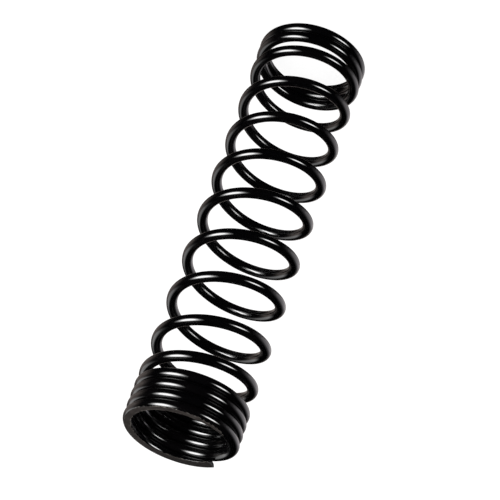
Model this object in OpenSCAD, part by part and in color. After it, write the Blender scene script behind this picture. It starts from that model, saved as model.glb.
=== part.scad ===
// Coil spring, helical compression type, for a light vehicle suspension strut.
// One round steel wire, wound right hand, with closed and flat ground ends.
// The spring stands on its lower end: Z is the coil axis and Z = 0 is the
// ground face of that end. Lengths are in millimetres. Turns are counted along
// the wire from the +X side, where the upper tip lies; the lower tip is a little
// short of it, at a turn below 0.

/* [Wire] */
// Wire diameter
wire_d = 6; // [5:0.1:7]
// Outside diameter of the coils
coil_od = 63; // [56:0.5:90]

/* [Pitch, spring unloaded] */
// Gap between closed turns at the lower end
lower_gap = 0.05; // [0.05:0.01:0.3]
// Gap between closed turns at the upper end
upper_gap = 0.2; // [0.05:0.01:0.3]
// Pitch where the lower end has opened fully
first_pitch = 25; // [20:0.1:30]
// Pitch of the widest working turns
widest_pitch = 27.8; // [20:0.1:34]
// Pitch from which the upper end snaps shut
shutting_pitch = 16.5; // [12:0.1:20]

/* [Turns] */
// Turn at which the lower end starts to open
lower_open = 1.63; // [1.3:0.01:1.9]
// Turn at which the lower end has opened fully
working_from = 3.08; // [2.9:0.01:3.6]
// Turn from which the pitch is at its widest
widest_from = 7.4; // [6:0.1:8]
// Turn at which the upper end starts to close
upper_close = 9.13; // [8.9:0.01:9.5]
// Turn at which the upper end snaps shut
upper_shut = 10.78; // [10.6:0.01:10.85]
// Turn from which the upper end is closed
upper_closed = 10.93; // [10.9:0.01:11.2]

/* [Ends] */
// Turn at which the wire starts
lower_start = -0.075; // [-0.3:0.025:0]
// Thickness left at the lower tip after the end is ground flat
lower_tip = 2.95; // [2:0.05:3.2]
// Thickness left at the upper tip after the end is ground flat
upper_tip = 2.3; // [1.8:0.05:3]
// Lean of the closed turns at the lower end against the ground face
lower_lean = 0.5; // [0:0.1:1]
// Side to which they lean, as an angle from +X
lower_lean_side = 30; // [0:5:90]
// Lean of the closed turns at the upper end against the ground face
upper_lean = 1; // [0:0.1:1]
// Side to which they lean, as an angle from +X
upper_lean_side = 90; // [0:5:90]

/* [Detail] */
// Sides of the wire's cross-section
wire_sides = 12; // [8:4:16]
// Cross-sections in each turn
turn_steps = 40; // [24:4:44]

/* [Hidden] */
turns = 15;
wire_r = wire_d / 2;
mean_r = (coil_od - wire_d) / 2;
lower_pitch = wire_d + lower_gap;
upper_pitch = wire_d + upper_gap;
// A section drawn at this radius has the area of the round wire
section_r = wire_r / sqrt(wire_sides / 2 / PI * sin(360 / wire_sides));
clear = 4 * wire_d;
paint = [0.035, 0.035, 0.04];

// Turns at which the change of pitch alters, and the pitch there
bends = [
    [lower_open, lower_pitch],
    [working_from, first_pitch],
    [widest_from, widest_pitch],
    [upper_close, widest_pitch],
    [upper_shut, shutting_pitch],
    [upper_closed, upper_pitch]
];
// Height of turn 0 above the ground face of the lower end, before any lean
base_z = lower_tip - wire_r - climb(lower_start);
free_length = base_z + climb(turns) - wire_r + upper_tip;

// Axial distance from one turn to the next, at turn s
function pitch(s) = lookup(s, bends);

// How far the lower end is closed at turn s, from 0 to 1
function lower_shut(s) = lookup(s, [[lower_open, 1], [working_from, 0]]);

// How far the upper end is closed at turn s, from 0 to 1
function upper_shut_by(s) = lookup(s, [
    [upper_close, 0],
    [upper_shut, (widest_pitch - shutting_pitch) / (widest_pitch - upper_pitch)],
    [upper_closed, 1]
]);

// Climb from bend i on to turn s, or to the last bend if that comes first
function climb_from(i, s) =
    i == len(bends) - 1 || s <= bends[i][0] ? 0 :
    let (end = min(s, bends[i + 1][0]))
    (end - bends[i][0]) * (bends[i][1] + pitch(end)) / 2 + climb_from(i + 1, s);

// Height that the wire's centre line has climbed at turn s
function climb(s) =
    lower_pitch * min(s, lower_open)
    + climb_from(0, s)
    + upper_pitch * max(0, s - upper_closed)
    + lower_lean * lower_shut(s) * cos(360 * s - lower_lean_side)
    + upper_lean * upper_shut_by(s) * cos(360 * s - upper_lean_side);

// Cross-section of the wire at turn s, in the upright plane through the axis
function section(s) =
    let (stretch = sqrt(1 + pow(pitch(s) / (2 * PI * mean_r), 2)))
    [for (k = [0:wire_sides - 1])
        let (a = (k + 0.5) * 360 / wire_sides,
             r = mean_r + section_r * cos(a))
        [r * cos(360 * s), r * sin(360 * s),
         base_z + climb(s) + section_r * sin(a) * stretch]];

// Wire from turn a to turn b, both ends cut in the upright plane of the tips
module wire(a, b) {
    steps = (b - a) * turn_steps;
    points = [for (i = [0:steps]) each section(a + i / turn_steps)];
    sides = [for (i = [0:steps - 1], k = [0:wire_sides - 1])
        let (n = (k + 1) % wire_sides, p = i * wire_sides, q = p + wire_sides)
        each [[p + k, q + k, q + n], [p + k, q + n, p + n]]];
    first = [for (k = [0:wire_sides - 1]) k];
    last = [for (k = [wire_sides - 1:-1:0]) steps * wire_sides + k];
    polyhedron(points, concat([first], sides, [last]), convexity = 4);
}

// What grinding takes off, from height z upwards
module ground_off(z) {
    translate([-coil_od, -coil_od, z])
        cube([2 * coil_od, 2 * coil_od, clear]);
}

module lower_end_turn() {
    color(paint) difference() {
        wire(lower_start, 1);
        ground_off(-clear);
    }
}

module lower_closed_turn() {
    color(paint) wire(1, 2);
}

module lower_transition_turn() {
    color(paint) wire(2, 3);
}

// Working coil number n, counted from the lower end
module coil(n) {
    color(paint) wire(n + 2, n + 3);
}

module upper_transition_turn() {
    color(paint) wire(10, 11);
}

// Closed turn number n above the working coils
module upper_closed_turn(n) {
    color(paint) wire(n + 10, n + 11);
}

module upper_end_turn() {
    color(paint) difference() {
        wire(14, turns);
        ground_off(free_length);
    }
}

lower_end_turn();
lower_closed_turn();
lower_transition_turn();
coil(1);  // coil_1
coil(2);  // coil_2
coil(3);  // coil_3
coil(4);  // coil_4
coil(5);  // coil_5
coil(6);  // coil_6
coil(7);  // coil_7
upper_transition_turn();
upper_closed_turn(1);  // upper_closed_turn_1
upper_closed_turn(2);  // upper_closed_turn_2
upper_closed_turn(3);  // upper_closed_turn_3
upper_end_turn();
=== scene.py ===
"""Looks for the coil spring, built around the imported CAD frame. Metres, +Z up.

The spring is one round wire. Each CAD node is one turn of it, and each gets a
finer piece here, made from the same centre line: the same coil, the same flat
ground ends and the same square-cut tips. A place on the wire is given in turns,
counted from the +X side, where the upper tip lies. The lower tip is a little
short of that side, at a turn below 0.
"""

import math
from functools import lru_cache

import bmesh
import bpy
import numpy as np
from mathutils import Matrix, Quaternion, Vector


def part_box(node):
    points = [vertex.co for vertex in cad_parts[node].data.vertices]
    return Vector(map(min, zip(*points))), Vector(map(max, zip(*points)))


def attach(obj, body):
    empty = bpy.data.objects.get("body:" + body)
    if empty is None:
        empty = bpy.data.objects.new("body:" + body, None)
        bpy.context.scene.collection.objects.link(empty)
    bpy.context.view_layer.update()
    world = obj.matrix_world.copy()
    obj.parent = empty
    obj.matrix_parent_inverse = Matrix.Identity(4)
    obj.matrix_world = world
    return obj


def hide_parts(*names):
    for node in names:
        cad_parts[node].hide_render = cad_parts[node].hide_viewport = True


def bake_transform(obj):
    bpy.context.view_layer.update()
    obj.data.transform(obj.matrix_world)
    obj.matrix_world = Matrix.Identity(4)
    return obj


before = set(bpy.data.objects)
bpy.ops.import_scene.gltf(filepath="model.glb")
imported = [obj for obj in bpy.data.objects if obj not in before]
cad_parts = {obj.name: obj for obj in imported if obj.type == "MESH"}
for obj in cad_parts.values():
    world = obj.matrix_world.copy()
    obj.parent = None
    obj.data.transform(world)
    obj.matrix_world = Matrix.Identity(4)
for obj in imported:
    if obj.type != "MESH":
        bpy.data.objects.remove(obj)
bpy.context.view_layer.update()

# ---------------------------------------------------------------- the coil
MM = 0.001
WIRE_RADIUS = 3.0 * MM
MEAN_RADIUS = 28.5 * MM
TURNS = 15
LOWER_START = -0.075     # turn at which the wire starts
LOWER_TIP = 2.95 * MM    # thickness left at the lower tip
# Lean of the closed turns against the ground face, and the side they lean to
LOWER_LEAN = 0.5 * MM
LOWER_LEAN_SIDE = math.radians(30)
UPPER_LEAN = 1.0 * MM
UPPER_LEAN_SIDE = math.radians(90)
# Turns at which the change of pitch alters, and the pitch there
BENDS = [(1.63, 6.05 * MM), (3.08, 25.0 * MM), (7.4, 27.8 * MM),
         (9.13, 27.8 * MM), (10.78, 16.5 * MM), (10.93, 6.2 * MM)]
# The same for a spring pressed solid
SHUT = [BENDS[0], BENDS[-1]]
# How far each end of the coil is closed: 0.5231 is how much of the change from
# the widest to the closed pitch is done where the upper end starts to snap shut
LOWER_SHUT = [(1.63, 1.0), (3.08, 0.0)]
UPPER_SHUT = [(9.13, 0.0), (10.78, 0.5231), (10.93, 1.0)]

LOWER_NODES = ["lower_end_turn", "lower_closed_turn", "lower_transition_turn"]
COIL_NODES = ["coil_%d" % k for k in range(1, 8)]
UPPER_NODES = ["upper_transition_turn", "upper_closed_turn_1",
               "upper_closed_turn_2", "upper_closed_turn_3", "upper_end_turn"]
NODES = LOWER_NODES + COIL_NODES + UPPER_NODES
FREE_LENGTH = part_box("upper_end_turn")[1].z

# ------------------------------------------------------------- mesh density
RINGS = 144          # sections in one turn
SIDES = 40           # points round a plain section
FLAT_POINTS = 9      # points across a ground flat
EDGE_ROUND = 0.16 * MM      # width of the rounding along a ground flat
EDGE_SHARE = 0.3            # the most of a narrow flat that its rounding takes
WEAR_WIDTH = 0.5 * MM       # how far from a ground edge the wear reaches
TIP_ROUND = 0.22 * MM       # rounding round a cut tip
TIP_STEPS = (0.35, 0.7, 1.0)
TIP_CAP_INSET = 0.3 * MM    # last ring on the tip's face, inside its rounding
SLOPE_STEP = 1e-4           # turns either side, for measuring the slope
TINY = 1e-9
SAME_POINT = 0.4e-6         # points nearer than this are joined


def between(s, table):
    """The value at turn s, changing evenly from one entry to the next."""
    return float(np.interp(s, [t for t, _ in table], [v for _, v in table]))


def rise(s, bends):
    """Height gained up to turn s by a wire with the pitches in bends."""
    total = bends[0][1] * min(s, bends[0][0])
    for (a, low), (b, high) in zip(bends, bends[1:]):
        u = min(max(s - a, 0.0), b - a)
        total += low * u + (high - low) * u * u / (2 * (b - a))
    return total + bends[-1][1] * max(0.0, s - bends[-1][0])


@lru_cache(maxsize=None)
def climb(s):
    """Height of the wire's centre at turn s, above where turn 0 would be
    without any lean."""
    around = 2 * math.pi * s
    lower = LOWER_LEAN * between(s, LOWER_SHUT) * math.cos(around - LOWER_LEAN_SIDE)
    upper = UPPER_LEAN * between(s, UPPER_SHUT) * math.cos(around - UPPER_LEAN_SIDE)
    return rise(s, BENDS) + lower + upper


@lru_cache(maxsize=None)
def slope(s):
    """Climb for each metre along the coil at turn s."""
    up = (climb(s + SLOPE_STEP) - climb(s - SLOPE_STEP)) / (2 * SLOPE_STEP)
    return up / (2 * math.pi * MEAN_RADIUS)


@lru_cache(maxsize=None)
def stretch(s):
    """The upright cut through a sloping wire is this much taller than wide."""
    return math.hypot(1, between(s, BENDS) / (2 * math.pi * MEAN_RADIUS))


BASE_Z = LOWER_TIP - WIRE_RADIUS - climb(LOWER_START)


def blend_share(s):
    """Share of the spring's compression that turn s moves down by."""
    whole = rise(TURNS, BENDS) - rise(TURNS, SHUT)
    return min(1.0, max(0.0, (rise(s, BENDS) - rise(s, SHUT)) / whole))


# ------------------------------------------------------- sections of the wire
class Point:
    """A point of a section: offsets from the wire's centre, and the normal."""

    def __init__(self, out, up, normal, edge):
        self.out = out
        self.up = up
        self.normal = normal      # (outward, along, up)
        self.edge = edge          # 1 on a ground edge, 0 away from it


def round_normal(s, angle):
    """Outward normal of the round wire at an angle round its section."""
    rho = MEAN_RADIUS + WIRE_RADIUS * math.cos(angle)
    around = 2 * math.pi * rho
    n = Vector((stretch(s) * math.cos(angle) * around,
                -math.sin(angle) * slope(s) * 2 * math.pi * MEAN_RADIUS,
                math.sin(angle) * around))
    return n.normalized()


def round_point(s, angle, edge=0.0):
    return Point(WIRE_RADIUS * math.cos(angle),
                 WIRE_RADIUS * stretch(s) * math.sin(angle),
                 round_normal(s, angle), edge)


def round_section(s):
    """A plain section, starting at the top of the wire."""
    return [round_point(s, 2 * math.pi * (0.25 + k / SIDES))
            for k in range(SIDES)]


def ground_section(s, upper):
    """A section that a ground plane may cut flat. It runs once round: the arc
    from one edge of the flat to the other, then back across the flat. Where
    the plane misses the wire the flat has no width."""
    side = 1 if upper else -1
    plane = FREE_LENGTH if upper else 0.0
    tall = WIRE_RADIUS * stretch(s)
    height = side * (plane - BASE_Z - climb(s)) / tall
    height = min(1.0, max(-1.0, height))
    half_arc = math.pi / 2 + math.asin(height)
    half_flat = WIRE_RADIUS * math.sqrt(1 - height * height)
    edge = min(EDGE_ROUND, EDGE_SHARE * half_flat)
    half_arc -= edge / WIRE_RADIUS

    # The middle of the arc is at the bottom for the upper end, top for the lower
    middle = -math.pi / 2 * side
    arc = []
    for k in range(SIDES + 1):
        angle = middle + half_arc * (2 * k / SIDES - 1)
        from_edge = WIRE_RADIUS * half_arc * min(2 * k, 2 * (SIDES - k)) / SIDES
        near = max(0.0, 1 - from_edge / WEAR_WIDTH) if edge > 0 else 0.0
        arc.append(round_point(s, angle, near))
    up = side * height * tall
    flat_normal = Vector((0, 0, side))
    first = arc[0]
    last = arc[-1]
    out_last = math.copysign(half_flat, last.out) if edge > 0 else 0.0
    out_first = -out_last
    inner = 1 - (edge / half_flat if half_flat > 0 else 0)

    def corner(p, out):
        """The middle of the rounded edge, on a curve from the arc's end to the
        flat's that bends towards the sharp corner."""
        normal = (p.normal + flat_normal).normalized()
        a = Vector((p.out, p.up))
        c = Vector((out, up))
        b = Vector((out * inner, up))
        m = 0.25 * a + 0.5 * c + 0.25 * b
        return Point(m.x, m.y, normal, 1.0 if edge > 0 else 0.0)

    flat = []
    for k in range(FLAT_POINTS):
        t = 1 - 2 * k / (FLAT_POINTS - 1)
        out = out_last * inner * t
        from_edge = half_flat * (1 - abs(t))
        near = max(0.0, 1 - from_edge / WEAR_WIDTH) if edge > 0 else 0.0
        flat.append(Point(out, up, flat_normal, near))
    return arc + [corner(last, out_last)] + flat + [corner(first, out_first)]


def inset(section, amount):
    """The same section drawn in towards its middle, for the rounded tip."""
    mid = Vector((0.0, sum(p.up for p in section) / len(section)))
    made = []
    for p in section:
        v = Vector((p.out, p.up)) - mid
        if v.length > TINY:
            v *= max(0.0, 1 - amount / v.length)
        made.append(Point(mid.x + v.x, mid.y + v.y, p.normal, p.edge))
    return made


# -------------------------------------------------------------- the pieces
# Material index of each kind of face
PAINTED = 0
FLAT_FACE = 1


def local_axes(s):
    """Outward, along the coil and up, at turn s."""
    a = 2 * math.pi * s
    return (Vector((math.cos(a), math.sin(a), 0)),
            Vector((-math.sin(a), math.cos(a), 0)),
            Vector((0, 0, 1)))


def place(s, p):
    """Where a point of the section at turn s lies."""
    outward, _, up = local_axes(s)
    centre = outward * MEAN_RADIUS + up * (BASE_Z + climb(s))
    return centre + outward * p.out + up * p.up


def turned(s, n):
    """The normal n of the section at turn s, as a direction in the frame."""
    outward, along, up = local_axes(s)
    return outward * n.x + along * n.y + up * n.z


def make_turn(name, first):
    """One turn of wire from turn first to the next, as a closed mesh."""
    tip_start = name == "lower_end_turn"
    tip_end = name == "upper_end_turn"
    ground = tip_start or tip_end
    last = first + 1
    if tip_start:
        first = LOWER_START
    steps = round((last - first) * RINGS)

    rings = []                      # (turn, section, tip share)
    turn_of = [first + (last - first) * k / steps for k in range(steps + 1)]
    tip_turns = TIP_ROUND / (2 * math.pi * MEAN_RADIUS)
    for s in turn_of:
        if tip_start and s == first:
            s = first + tip_turns
        if tip_end and s == last:
            s = last - tip_turns
        section = ground_section(s, tip_end) if ground else round_section(s)
        rings.append((s, section, 0.0))

    def tip_rings(s_end, s_full):
        """Rings that round the wire off between turn s_full and its cut end."""
        section = ground_section(s_full, tip_end)
        made = []
        for share in TIP_STEPS:
            angle = share * math.pi / 2
            amount = TIP_ROUND * (1 - math.cos(angle))
            s = s_full + (s_end - s_full) * math.sin(angle)
            made.append((s, inset(section, amount), share))
        made.append((s_end, inset(section, TIP_ROUND + TIP_CAP_INSET), 1.0))
        return made

    if tip_start:
        rings = tip_rings(first, rings[0][0])[::-1] + rings
    if tip_end:
        rings = rings + tip_rings(last, rings[-1][0])

    bm = bmesh.new()
    lay_bar = bm.verts.layers.float_vector.new("bar")
    lay_edge = bm.verts.layers.float.new("ground_edge")
    lay_turn = bm.verts.layers.float.new("turn")
    lay_normal = bm.verts.layers.float_vector.new("shade_normal")
    count = len(rings[0][1])
    grid = []
    end_normal = Vector((0, 1 if tip_end else -1, 0))
    for s, section, share in rings:
        row = []
        for p in section:
            v = bm.verts.new(place(s, p))
            n = turned(s, p.normal)
            if share > 0:
                n = (n * math.cos(share * math.pi / 2)
                     + end_normal * math.sin(share * math.pi / 2)).normalized()
            v[lay_normal] = n
            v[lay_edge] = p.edge
            v[lay_turn] = s
            v[lay_bar] = Vector((p.out, p.up, s * 2 * math.pi * MEAN_RADIUS))
            row.append(v)
        grid.append(row)
    flat_from = SIDES + 2 if ground else count + 1
    for i in range(len(grid) - 1):
        for j in range(count):
            k = (j + 1) % count
            face = bm.faces.new((grid[i][j], grid[i + 1][j],
                                 grid[i + 1][k], grid[i][k]))
            face.smooth = True
            on_flat = ground and flat_from <= j < flat_from + FLAT_POINTS - 1
            face.material_index = FLAT_FACE if on_flat else PAINTED
    start_cap = bm.faces.new(grid[0][::-1])
    end_cap = bm.faces.new(grid[-1])
    for cap in (start_cap, end_cap):
        cap.smooth = False
        cap.material_index = PAINTED
    bmesh.ops.remove_doubles(bm, verts=bm.verts, dist=SAME_POINT)

    mesh = bpy.data.meshes.new(name + "_looks")
    bm.normal_update()
    bm.to_mesh(mesh)
    bm.free()
    piece = bpy.data.objects.new(name + "_wire", mesh)
    bpy.context.scene.collection.objects.link(piece)
    set_normals(mesh)
    return piece


def set_normals(mesh):
    """Exact normals from the wire's own shape, so that the joints between
    turns don't show. The end faces keep their own."""
    wanted = np.zeros(len(mesh.vertices) * 3, np.float32)
    mesh.attributes["shade_normal"].data.foreach_get("vector", wanted)
    wanted = wanted.reshape(-1, 3)
    normals = np.zeros((len(mesh.loops), 3), np.float32)
    for poly in mesh.polygons:
        for li in poly.loop_indices:
            if poly.use_smooth:
                normals[li] = wanted[mesh.loops[li].vertex_index]
            else:
                normals[li] = poly.normal
    mesh.normals_split_custom_set([Vector(n) for n in normals])
    mesh.attributes.remove(mesh.attributes["shade_normal"])


# ------------------------------------------------------------- node helpers
# The Mix node has these sockets for colours; their names repeat, so they go by number
COLOUR_A = 6
COLOUR_B = 7
COLOUR_RESULT = 2


def new_material(name):
    """A material with an empty shader, as (material, node tree, shader)."""
    mat = bpy.data.materials.new(name)
    mat.use_nodes = True
    tree = mat.node_tree
    tree.nodes.clear()
    out = tree.nodes.new("ShaderNodeOutputMaterial")
    shader = tree.nodes.new("ShaderNodeBsdfPrincipled")
    tree.links.new(shader.outputs["BSDF"], out.inputs["Surface"])
    return mat, tree, shader


def attribute(tree, name):
    """A node that reads a value stored on the mesh."""
    node = tree.nodes.new("ShaderNodeAttribute")
    node.attribute_type = "GEOMETRY"
    node.attribute_name = name
    return node


def scaled(tree, vector, scale):
    """The vector, multiplied along each axis."""
    node = tree.nodes.new("ShaderNodeVectorMath")
    node.operation = "MULTIPLY"
    tree.links.new(vector, node.inputs[0])
    node.inputs[1].default_value = scale
    return node.outputs["Vector"]


def noise(tree, vector, scale, detail=2.0, roughness=0.5):
    """Noise around 0.5. A larger scale makes it finer."""
    node = tree.nodes.new("ShaderNodeTexNoise")
    node.inputs["Scale"].default_value = scale
    node.inputs["Detail"].default_value = detail
    node.inputs["Roughness"].default_value = roughness
    tree.links.new(vector, node.inputs["Vector"])
    return node.outputs["Fac"]


def remap(tree, value, low, high, to_low=0.0, to_high=1.0):
    """The value, stretched from low..high to to_low..to_high and clamped."""
    node = tree.nodes.new("ShaderNodeMapRange")
    node.inputs["From Min"].default_value = low
    node.inputs["From Max"].default_value = high
    node.inputs["To Min"].default_value = to_low
    node.inputs["To Max"].default_value = to_high
    tree.links.new(value, node.inputs["Value"])
    return node.outputs["Result"]


def math_node(tree, operation, a, b):
    """One arithmetic step, on numbers or sockets."""
    node = tree.nodes.new("ShaderNodeMath")
    node.operation = operation
    for socket, value in zip(node.inputs, (a, b)):
        if isinstance(value, (int, float)):
            socket.default_value = value
        else:
            tree.links.new(value, socket)
    return node.outputs["Value"]


def mix_colour(tree, factor, a, b):
    """Colour a where the factor is 0, b where it is 1."""
    node = tree.nodes.new("ShaderNodeMix")
    node.data_type = "RGBA"
    tree.links.new(factor, node.inputs["Factor"])
    for socket, value in ((node.inputs[COLOUR_A], a), (node.inputs[COLOUR_B], b)):
        if isinstance(value, tuple):
            socket.default_value = (*value, 1.0)
        else:
            tree.links.new(value, socket)
    return node.outputs[COLOUR_RESULT]


def glancing(tree):
    """0 where the surface is seen square on, 1 where it turns away."""
    return tree.nodes.new("ShaderNodeLayerWeight").outputs["Facing"]


def bump(tree, height, distance, strength=None, under=None):
    """A normal for relief of this depth, on top of the one under it."""
    node = tree.nodes.new("ShaderNodeBump")
    node.inputs["Strength"].default_value = 1.0
    if strength is not None:
        tree.links.new(strength, node.inputs["Strength"])
    node.inputs["Distance"].default_value = distance
    tree.links.new(height, node.inputs["Height"])
    if under is not None:
        tree.links.new(under, node.inputs["Normal"])
    return node.outputs["Normal"]


# ---------------------------------------------------------------- materials
PAINT_DEEP = (0.0003, 0.0003, 0.0004)
PAINT_DRIFT = (0.0007, 0.0006, 0.0007)
DUST = (0.012, 0.011, 0.010)
CHIPPED_PAINT = (0.07, 0.064, 0.058)
PAINT_IOR = 1.5
DUST_ROUGHNESS = 0.15
PEEL_DEPTH = 0.0028 * MM
GRAIN_DEPTH = 0.0003 * MM

SATIN_DARK = (0.0090, 0.0070, 0.0062)
SATIN_LIGHT = (0.0155, 0.0124, 0.0110)
WHEEL_MARK = (0.025, 0.0205, 0.0185)
# Painted shade: a darker colour for the ground face near the tip, standing in for the
# shade it lies in there
PAINTED_SHADE_NEAR_TIP = (0.0045, 0.0038, 0.0036)
CHIPPED_FACE = (0.07, 0.062, 0.056)
HALF_TURN = 0.5
MARK_DEPTH = 0.008 * MM
CLOUD_DEPTH = 0.03 * MM


def black_paint():
    """Gloss black spring paint: a faint orange peel, drifts of slightly
    duller film, settled dust and chips along the ground edge. It turns duller
    and smoother where it is seen at a glancing angle."""
    mat, tree, shader = new_material("black_paint")
    bar = attribute(tree, "bar").outputs["Vector"]
    edge = attribute(tree, "ground_edge").outputs["Fac"]

    drift = noise(tree, scaled(tree, bar, (1.0, 1.0, 0.35)), scale=90, detail=3)
    film = noise(tree, bar, scale=420, detail=3, roughness=0.6)
    base = mix_colour(tree, remap(tree, drift, 0.35, 0.65),
                      PAINT_DEEP, PAINT_DRIFT)
    specks = noise(tree, bar, scale=2600, detail=1, roughness=0.4)
    dusty = remap(tree, specks, 0.74, 0.84)
    dusty = math_node(tree, "MULTIPLY", dusty,
                      remap(tree, drift, 0.42, 0.62, 0.15, 1.0))
    base = mix_colour(tree, dusty, base, DUST)
    chips = noise(tree, scaled(tree, bar, (1.0, 1.0, 0.5)),
                  scale=1500, detail=2, roughness=0.6)
    worn = math_node(tree, "MULTIPLY", remap(tree, edge, 0.45, 0.9),
                     remap(tree, chips, 0.50, 0.58))
    worn = math_node(tree, "MULTIPLY", worn, remap(tree, drift, 0.40, 0.55))
    base = mix_colour(tree, worn, base, CHIPPED_PAINT)
    tree.links.new(base, shader.inputs["Base Color"])

    rough = remap(tree, drift, 0.3, 0.7, 0.05, 0.09)
    rough = math_node(tree, "ADD", rough, remap(tree, film, 0.35, 0.7, 0.0, 0.03))
    rough = math_node(tree, "ADD", rough,
                      math_node(tree, "MULTIPLY", dusty, DUST_ROUGHNESS))
    away = glancing(tree)
    rough = math_node(tree, "ADD", rough, remap(tree, away, 0.6, 1.0, 0.0, 0.28))
    tree.links.new(rough, shader.inputs["Roughness"])

    peel = noise(tree, bar, scale=700, detail=2, roughness=0.5)
    grain = noise(tree, bar, scale=3200, detail=2, roughness=0.6)
    relief = remap(tree, away, 0.5, 0.9, 1.0, 0.1)
    normal = bump(tree, peel, PEEL_DEPTH, relief)
    normal = bump(tree, grain, GRAIN_DEPTH, relief, under=normal)
    tree.links.new(normal, shader.inputs["Normal"])
    shader.inputs["IOR"].default_value = PAINT_IOR
    return mat


def ground_face():
    """The flat ground face: satin paint over the marks of the wheel, with painted
    shade that darkens it towards the tip."""
    mat, tree, shader = new_material("ground_face")
    bar = attribute(tree, "bar").outputs["Vector"]
    edge = attribute(tree, "ground_edge").outputs["Fac"]
    marks = noise(tree, scaled(tree, bar, (1.0, 1.0, 0.12)),
                  scale=3000, detail=2, roughness=0.6)
    cloud = noise(tree, bar, scale=260, detail=3, roughness=0.6)
    base = mix_colour(tree, remap(tree, cloud, 0.3, 0.7),
                      SATIN_DARK, SATIN_LIGHT)
    base = mix_colour(tree, remap(tree, marks, 0.55, 0.75),
                      base, WHEEL_MARK)
    # Painted shade: the face's colour is darkened towards the tip, in place of the
    # shade that the lights leave there
    turn = attribute(tree, "turn").outputs["Fac"]
    from_tip = math_node(tree, "PINGPONG", turn, HALF_TURN)
    base = mix_colour(tree, remap(tree, from_tip, 0.08, 0.30, 0.7, 0.0),
                      base, PAINTED_SHADE_NEAR_TIP)
    worn = math_node(tree, "MULTIPLY", remap(tree, edge, 0.3, 1.0),
                     remap(tree, cloud, 0.47, 0.60))
    base = mix_colour(tree, worn, base, CHIPPED_FACE)
    tree.links.new(base, shader.inputs["Base Color"])
    rough = remap(tree, marks, 0.3, 0.7, 0.38, 0.55)
    tree.links.new(rough, shader.inputs["Roughness"])
    normal = bump(tree, marks, MARK_DEPTH)
    normal = bump(tree, cloud, CLOUD_DEPTH, under=normal)
    tree.links.new(normal, shader.inputs["Normal"])
    return mat


# ------------------------------------------------------------ build the wire
paint = black_paint()
satin = ground_face()
lit = bpy.data.collections.new("lit_by_panels")
for number, node in enumerate(NODES):
    piece = make_turn(node, number)
    lit.objects.link(piece)
    piece.data.materials.append(paint)
    piece.data.materials.append(satin)
    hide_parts(node)
    if node == "lower_end_turn":
        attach(piece, "lower_end")
    elif node in UPPER_NODES[1:]:
        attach(piece, "upper_end")
    else:
        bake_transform(piece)
        turn = np.zeros(len(piece.data.vertices), np.float32)
        piece.data.attributes["turn"].data.foreach_get("value", turn)
        share = np.array([blend_share(s) for s in turn], np.float32)

# ---------------------------------------------------------- floor and lights
FLOOR_SIZE = 12.0
FLOOR_GREY = (0.2, 0.2, 0.2, 1)
FLOOR_GLOW = 0.92
FLOOR_ROUGHNESS = 0.9
WHITE = (1, 1, 1, 1)
PANEL_DISTANCE = 1.4
PANEL_STEP = 0.03        # panels of a softbox stand this far apart


def make_floor():
    """The pale floor. It glows, so that it comes out evenly white."""
    mesh = bpy.data.meshes.new("floor")
    half = FLOOR_SIZE / 2
    mesh.from_pydata([(-half, -half, 0), (half, -half, 0),
                      (half, half, 0), (-half, half, 0)], [], [(0, 1, 2, 3)])
    floor = bpy.data.objects.new("floor", mesh)
    bpy.context.scene.collection.objects.link(floor)
    mat, tree, shader = new_material("pale_floor")
    shader.inputs["Base Color"].default_value = FLOOR_GREY
    shader.inputs["Emission Color"].default_value = WHITE
    shader.inputs["Emission Strength"].default_value = FLOOR_GLOW
    shader.inputs["Roughness"].default_value = FLOOR_ROUGHNESS
    mesh.materials.append(mat)
    floor.visible_glossy = False
    floor.visible_shadow = False


def make_panel(name, azimuth, elevation, distance, wide, high, radiance, tint):
    """An oval light that faces the middle of the spring. Azimuth 0 is on the
    -Y side and 90 on the +X side. The size is in degrees, as the spring
    sees it."""
    a = math.radians(azimuth)
    e = math.radians(elevation)
    way = Vector((math.sin(a) * math.cos(e), -math.cos(a) * math.cos(e),
                  math.sin(e)))
    data = bpy.data.lights.new(name, "AREA")
    data.shape = "ELLIPSE"
    data.size = 2 * distance * math.tan(math.radians(wide / 2))
    data.size_y = 2 * distance * math.tan(math.radians(high / 2))
    data.energy = radiance * data.size * data.size_y * math.pi
    data.color = tint
    lamp = bpy.data.objects.new(name, data)
    bpy.context.scene.collection.objects.link(lamp)
    lamp.location = Vector((0, 0, FREE_LENGTH / 2)) + way * distance
    lamp.rotation_mode = "QUATERNION"
    lamp.rotation_quaternion = way.to_track_quat("Z", "Y")
    lamp.visible_camera = False
    lamp.light_linking.receiver_collection = lit


# A softbox is brightest in the middle: (share of its size, of its brightness)
SOFT_STEPS = [(1.0, 0.06), (0.85, 0.14), (0.70, 0.30), (0.52, 0.50)]


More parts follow.
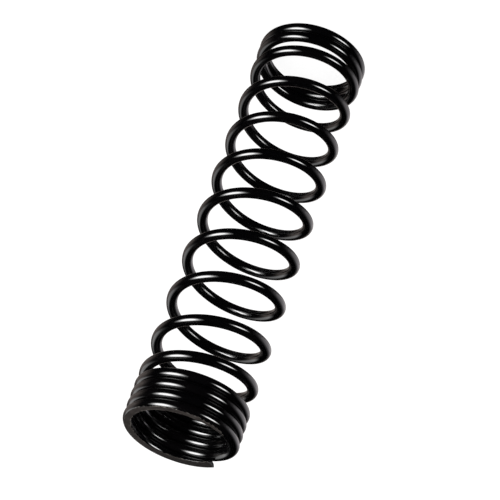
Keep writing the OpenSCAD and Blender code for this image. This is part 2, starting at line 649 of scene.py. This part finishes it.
def make_softbox(name, azimuth, elevation, wide, high, radiance, tint):
    """Panels one before another, because panels in one plane hide each other."""
    for k, (size, part) in enumerate(SOFT_STEPS):
        distance = PANEL_DISTANCE - PANEL_STEP * k
        make_panel("%s_%d" % (name, k), azimuth, elevation, distance,
                   wide * size, high * size, radiance * part, tint)


# Name, azimuth, elevation, width and height in degrees, radiance, tint
SOFTBOXES = [
    ("key", -83, 33, 50, 54, 20.0, (1, 1, 1)),
    ("side", -180, 11, 42, 28, 19.0, (1, 1, 1)),
    ("back_fill", 4, 30, 50, 50, 1.4, (1, 1, 1)),
    ("left_fill", -12, -2, 64, 76, 0.5, (1.0, 0.86, 0.80)),
    ("backdrop", 44, -30, 96, 72, 0.45, (1.0, 0.88, 0.82)),
    ("right_fill", 104, -18, 96, 80, 0.9, (1.0, 0.96, 1.0)),
]

make_floor()
for softbox in SOFTBOXES:
    make_softbox(*softbox)

world = bpy.data.worlds.new("studio")
bpy.context.scene.world = world
world.use_nodes = True
background = world.node_tree.nodes["Background"]
background.inputs["Color"].default_value = WHITE
background.inputs["Strength"].default_value = 1.0
world.cycles_visibility.glossy = False
bpy.context.scene.view_settings.view_transform = "Standard"

# ------------------------------------------------------------------- camera
AIM = Vector((1.79, 1.72, 137.27)) * MM
CAMERA_DISTANCE = 1.0887
CAMERA_AZIMUTH = 133.91      # from +X towards +Y
CAMERA_ELEVATION = 30.43
CAMERA_ROLL = -160.64
LENS = 142.77                # mm
SENSOR_WIDTH = 36            # mm
CLIP_START = 0.05
CLIP_END = 50

camera_data = bpy.data.cameras.new("camera")
camera_data.lens = LENS
camera_data.sensor_width = SENSOR_WIDTH
camera_data.clip_start = CLIP_START
camera_data.clip_end = CLIP_END
camera = bpy.data.objects.new("camera", camera_data)
bpy.context.scene.collection.objects.link(camera)
azimuth = math.radians(CAMERA_AZIMUTH)
elevation = math.radians(CAMERA_ELEVATION)
back = Vector((math.cos(azimuth) * math.cos(elevation),
               math.sin(azimuth) * math.cos(elevation),
               math.sin(elevation)))
camera.location = AIM + back * CAMERA_DISTANCE
camera.rotation_mode = "QUATERNION"
camera.rotation_quaternion = (back.to_track_quat("Z", "Y")
                              @ Quaternion((0, 0, 1), math.radians(CAMERA_ROLL)))
bpy.context.scene.camera = camera
